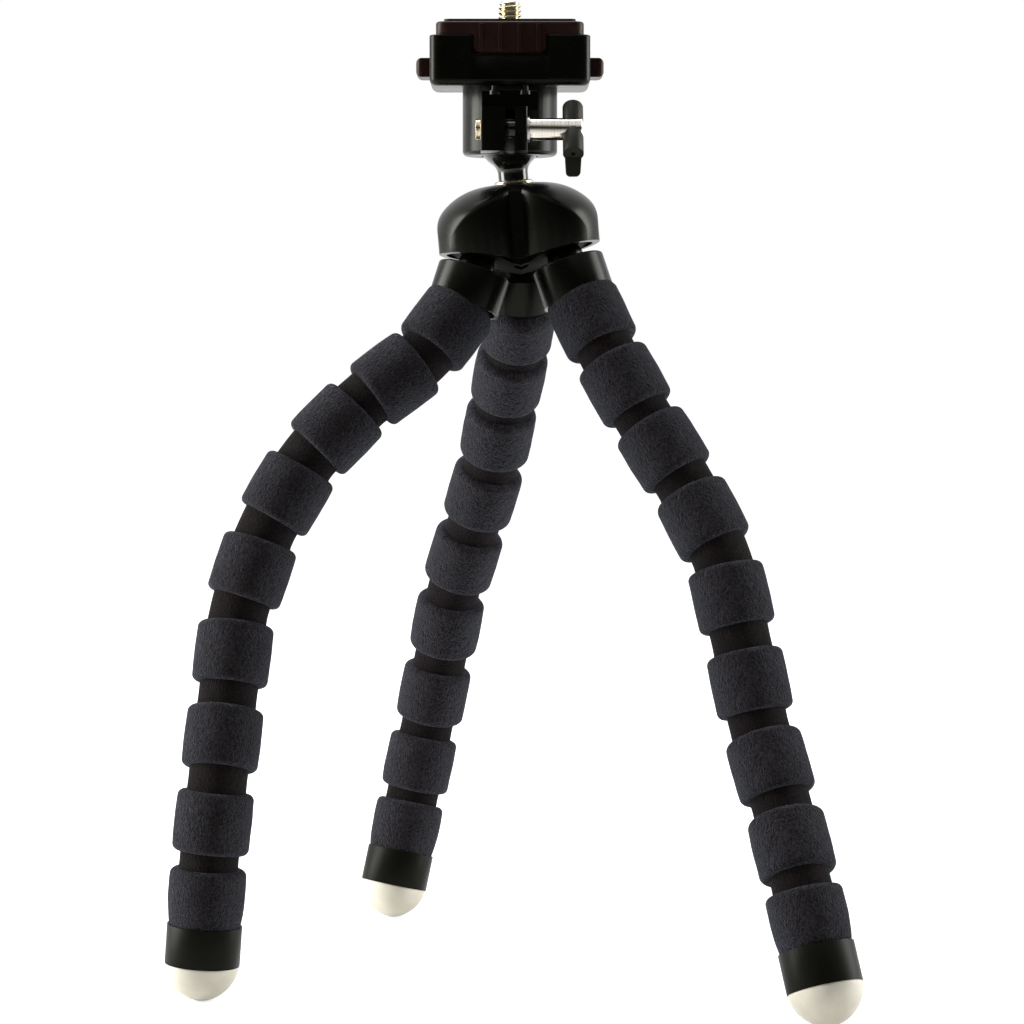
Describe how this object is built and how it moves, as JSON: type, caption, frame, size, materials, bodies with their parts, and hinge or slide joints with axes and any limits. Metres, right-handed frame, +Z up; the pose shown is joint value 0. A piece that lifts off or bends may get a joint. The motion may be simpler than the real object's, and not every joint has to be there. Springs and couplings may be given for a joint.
{
  "type": "flexible leg tripod",
  "caption": "Small camera tripod with foam-covered bendable legs, a ball head with a clamp knob and a quick-release plate with a camera screw.",
  "frame": {"origin": "centre of the bounding box, on the floor that the three feet stand on", "axes": "+Z up, the front with the clamp screw towards -Y, +X towards the knob"},
  "size_m": [0.1822, 0.1846, 0.2681],
  "materials": {
    "acetal": "smooth",
    "aluminium_wire": "plain",
    "black_stud": "gloss",
    "brass": "turned, nickel-washed pale",
    "dark_plastic": "satin",
    "foam": "fine pebbled foam",
    "pad_rubber": "matt",
    "rubber_foot": "semi-gloss",
    "satin_black_plastic": "satin",
    "steel": "polished"
  },
  "bodies": {
    "hub": {"hub_shell": "satin_black_plastic", "hub_base": "satin_black_plastic", "wire_anchors": "aluminium_wire", "hub_screws": "steel", "stem_collar": "brass", "ball_stud": "black_stud", "lock_nut": "steel"},
    "pan_stage": {"liner_cap": "acetal"},
    "tilt_stage": {"liner_ring": "acetal"},
    "head": {"socket_housing": "satin_black_plastic", "quick_release_tray": "satin_black_plastic", "tray_screws": "steel", "clamp_nut": "brass", "clamp_washer": "steel", "button_spring_left": "steel", "button_spring_right": "steel"},
    "clamp_knob": {"clamp_screw": "steel", "t_knob": "satin_black_plastic"},
    "left_button": {"release_button_left": "dark_plastic"},
    "right_button": {"release_button_right": "dark_plastic"},
    "plate": {"quick_release_plate": "dark_plastic", "plate_pad": "pad_rubber"},
    "camera_screw": {"camera_screw": "brass", "screw_ring": "steel"},
    "leg_left_1": {"top_cap_left": "satin_black_plastic", "band_left_1": "foam"},
    "leg_left_2": {"band_left_2": "foam"},
    "leg_left_3": {"band_left_3": "foam"},
    "leg_left_4": {"band_left_4": "foam"},
    "leg_left_5": {"band_left_5": "foam"},
    "leg_left_6": {"band_left_6": "foam"},
    "leg_left_7": {"band_left_7": "foam"},
    "leg_left_8": {"band_left_8": "foam"},
    "leg_left_9": {"band_left_9": "foam", "bottom_cap_left": "satin_black_plastic", "foot_left": "rubber_foot"},
    "leg_right_1": {"top_cap_right": "satin_black_plastic", "band_right_1": "foam"},
    "leg_right_2": {"band_right_2": "foam"},
    "leg_right_3": {"band_right_3": "foam"},
    "leg_right_4": {"band_right_4": "foam"},
    "leg_right_5": {"band_right_5": "foam"},
    "leg_right_6": {"band_right_6": "foam"},
    "leg_right_7": {"band_right_7": "foam"},
    "leg_right_8": {"band_right_8": "foam"},
    "leg_right_9": {"band_right_9": "foam", "bottom_cap_right": "satin_black_plastic", "foot_right": "rubber_foot"},
    "leg_back_1": {"top_cap_back": "satin_black_plastic", "band_back_1": "foam"},
    "leg_back_2": {"band_back_2": "foam"},
    "leg_back_3": {"band_back_3": "foam"},
    "leg_back_4": {"band_back_4": "foam"},
    "leg_back_5": {"band_back_5": "foam"},
    "leg_back_6": {"band_back_6": "foam"},
    "leg_back_7": {"band_back_7": "foam"},
    "leg_back_8": {"band_back_8": "foam"},
    "leg_back_9": {"band_back_9": "foam", "bottom_cap_back": "satin_black_plastic", "foot_back": "rubber_foot"}
  },
  "joints": [
    {"name": "pan", "type": "hinge", "parent": "hub", "child": "pan_stage", "pos_m": [0.00067, -0.00752, 0.23092], "axis": [-0.0872, 0, 0.9962], "continuous": true},
    {"name": "tilt", "type": "hinge", "parent": "pan_stage", "child": "tilt_stage", "pos_m": [0.00067, -0.00752, 0.23092], "axis": [0.6018, -0.7986, 0], "range_deg": [-24, 24]},
    {"name": "spin", "type": "hinge", "parent": "tilt_stage", "child": "head", "pos_m": [0.00067, -0.00752, 0.23092], "axis": [0, 0, -1], "continuous": true},
    {"name": "clamp_turn", "type": "hinge", "parent": "head", "child": "clamp_knob", "pos_m": [0.01767, -0.02712, 0.23212], "axis": [1, 0, 0], "range_deg": [0, 540]},
    {"name": "button_left_press", "type": "slide", "parent": "head", "child": "left_button", "axis": [1, 0, 0], "range_m": [0, 0.002], "stiffness_N_per_m": 600, "springref_m": -0.002, "deforming": ["button_spring_left"]},
    {"name": "button_right_press", "type": "slide", "parent": "head", "child": "right_button", "axis": [-1, 0, 0], "range_m": [0, 0.002], "stiffness_N_per_m": 600, "springref_m": -0.002, "deforming": ["button_spring_right"]},
    {"name": "plate_lift", "type": "slide", "parent": "head", "child": "plate", "axis": [0, 0, 1], "range_m": [0, 0.01]},
    {"name": "camera_screw_turn", "type": "hinge", "parent": "plate", "child": "camera_screw", "pos_m": [0.00067, -0.00752, 0.26172], "axis": [0, 0, 1], "continuous": true},
    {"name": "left_neck", "type": "hinge", "parent": "hub", "child": "leg_left_1", "pos_m": [-0.00859, -0.01462, 0.19569], "axis": [-0.5539, 0.8326, 0], "range_deg": [-10, 6]},
    {"name": "left_bend_1", "type": "hinge", "parent": "leg_left_1", "child": "leg_left_2", "pos_m": [-0.02246, -0.02192, 0.1711], "axis": [0.6428, 0.2177, -0.7344], "range_deg": [-32, 10]},
    {"name": "left_bend_2", "type": "hinge", "parent": "leg_left_2", "child": "leg_left_3", "pos_m": [-0.03898, -0.02543, 0.15883], "axis": [-0.1999, 0.9798, 0], "range_deg": [-17, 35]},
    {"name": "left_bend_3", "type": "hinge", "parent": "leg_left_3", "child": "leg_left_4", "pos_m": [-0.05393, -0.02834, 0.1436], "axis": [0.7689, 0.1731, -0.6154], "range_deg": [-24, 28]},
    {"name": "left_bend_4", "type": "hinge", "parent": "leg_left_4", "child": "leg_left_5", "pos_m": [-0.06516, -0.03135, 0.12425], "axis": [-0.3608, 0.9327, 0], "range_deg": [-19, 39]},
    {"name": "left_bend_5", "type": "hinge", "parent": "leg_left_5", "child": "leg_left_6", "pos_m": [-0.07236, -0.0355, 0.10261], "axis": [0.6571, 0.6907, -0.3019], "range_deg": [-17, 41]},
    {"name": "left_bend_6", "type": "hinge", "parent": "leg_left_6", "child": "leg_left_7", "pos_m": [-0.07475, -0.04143, 0.08033], "axis": [-0.9404, 0.3401, 0], "range_deg": [-31, 27]},
    {"name": "left_bend_7", "type": "hinge", "parent": "leg_left_7", "child": "leg_left_8", "pos_m": [-0.07692, -0.0481, 0.05874], "axis": [0.4902, 0.8474, -0.2043], "range_deg": [-35, 20]},
    {"name": "left_bend_8", "type": "hinge", "parent": "leg_left_8", "child": "leg_left_9", "pos_m": [-0.07923, -0.04933, 0.03744], "axis": [-0.3247, 0.9458, 0], "range_deg": [-20, 26]},
    {"name": "right_neck", "type": "hinge", "parent": "hub", "child": "leg_right_1", "pos_m": [0.01591, -0.01462, 0.19784], "axis": [-0.4565, -0.8897, 0], "range_deg": [-3, 14]},
    {"name": "right_bend_1", "type": "hinge", "parent": "leg_right_1", "child": "leg_right_2", "pos_m": [0.02696, -0.02336, 0.172], "axis": [-0.6708, 0.4977, -0.5498], "range_deg": [-18, 30]},
    {"name": "right_bend_2", "type": "hinge", "parent": "leg_right_2", "child": "leg_right_3", "pos_m": [0.0367, -0.02922, 0.15449], "axis": [-0.4918, -0.8707, 0], "range_deg": [-28, 24]},
    {"name": "right_bend_3", "type": "hinge", "parent": "leg_right_3", "child": "leg_right_4", "pos_m": [0.04761, -0.03501, 0.13684], "axis": [-0.6936, 0.4566, -0.5571], "range_deg": [-36, 23]},
    {"name": "right_bend_4", "type": "hinge", "parent": "leg_right_4", "child": "leg_right_5", "pos_m": [0.05716, -0.04275, 0.1179], "axis": [-0.6882, -0.7256, 0], "range_deg": [-15, 43]},
    {"name": "right_bend_5", "type": "hinge", "parent": "leg_right_5", "child": "leg_right_6", "pos_m": [0.0619, -0.04861, 0.09598], "axis": [-0.5842, 0.7471, -0.3171], "range_deg": [-30, 29]},
    {"name": "right_bend_6", "type": "hinge", "parent": "leg_right_6", "child": "leg_right_7", "pos_m": [0.06621, -0.05432, 0.07394], "axis": [-0.835, -0.5502, 0], "range_deg": [-39, 19]},
    {"name": "right_bend_7", "type": "hinge", "parent": "leg_right_7", "child": "leg_right_8", "pos_m": [0.0717, -0.06345, 0.05389], "axis": [-0.3859, 0.7811, -0.491], "range_deg": [-34, 25]},
    {"name": "right_bend_8", "type": "hinge", "parent": "leg_right_8", "child": "leg_right_9", "pos_m": [0.07583, -0.07369, 0.0355], "axis": [-0.8972, -0.4416, 0], "range_deg": [-13, 31]},
    {"name": "back_neck", "type": "hinge", "parent": "hub", "child": "leg_back_1", "pos_m": [0.00366, 0.00668, 0.19676], "axis": [0.9942, -0.1072, 0], "range_deg": [-7, 8]},
    {"name": "back_bend_1", "type": "hinge", "parent": "leg_back_1", "child": "leg_back_2", "pos_m": [0.00195, 0.02332, 0.17296], "axis": [0.1327, -0.719, -0.6822], "range_deg": [-21, 28]},
    {"name": "back_bend_2", "type": "hinge", "parent": "leg_back_2", "child": "leg_back_3", "pos_m": [-0.00119, 0.03695, 0.15746], "axis": [0.9686, 0.2484, 0], "range_deg": [-18, 33]},
    {"name": "back_bend_3", "type": "hinge", "parent": "leg_back_3", "child": "leg_back_4", "pos_m": [-0.0046, 0.04884, 0.13981], "axis": [0.3022, -0.7729, -0.5579], "range_deg": [-23, 36]},
    {"name": "back_bend_4", "type": "hinge", "parent": "leg_back_4", "child": "leg_back_5", "pos_m": [-0.01019, 0.0598, 0.12089], "axis": [0.8713, 0.4908, 0], "range_deg": [-26, 32]},
    {"name": "back_bend_5", "type": "hinge", "parent": "leg_back_5", "child": "leg_back_6", "pos_m": [-0.01633, 0.06964, 0.10082], "axis": [0.4448, -0.7765, -0.4463], "range_deg": [-31, 26]},
    {"name": "back_bend_6", "type": "hinge", "parent": "leg_back_6", "child": "leg_back_7", "pos_m": [-0.02045, 0.07772, 0.07949], "axis": [0.8288, 0.5595, 0], "range_deg": [-22, 36]},
    {"name": "back_bend_7", "type": "hinge", "parent": "leg_back_7", "child": "leg_back_8", "pos_m": [-0.0248, 0.08222, 0.05767], "axis": [0.8979, -0.3826, -0.2176], "range_deg": [-17, 42]},
    {"name": "back_bend_8", "type": "hinge", "parent": "leg_back_8", "child": "leg_back_9", "pos_m": [-0.02922, 0.0816, 0.03669], "axis": [0.3746, -0.9272, 0], "range_deg": [-20, 24]}
  ]
}
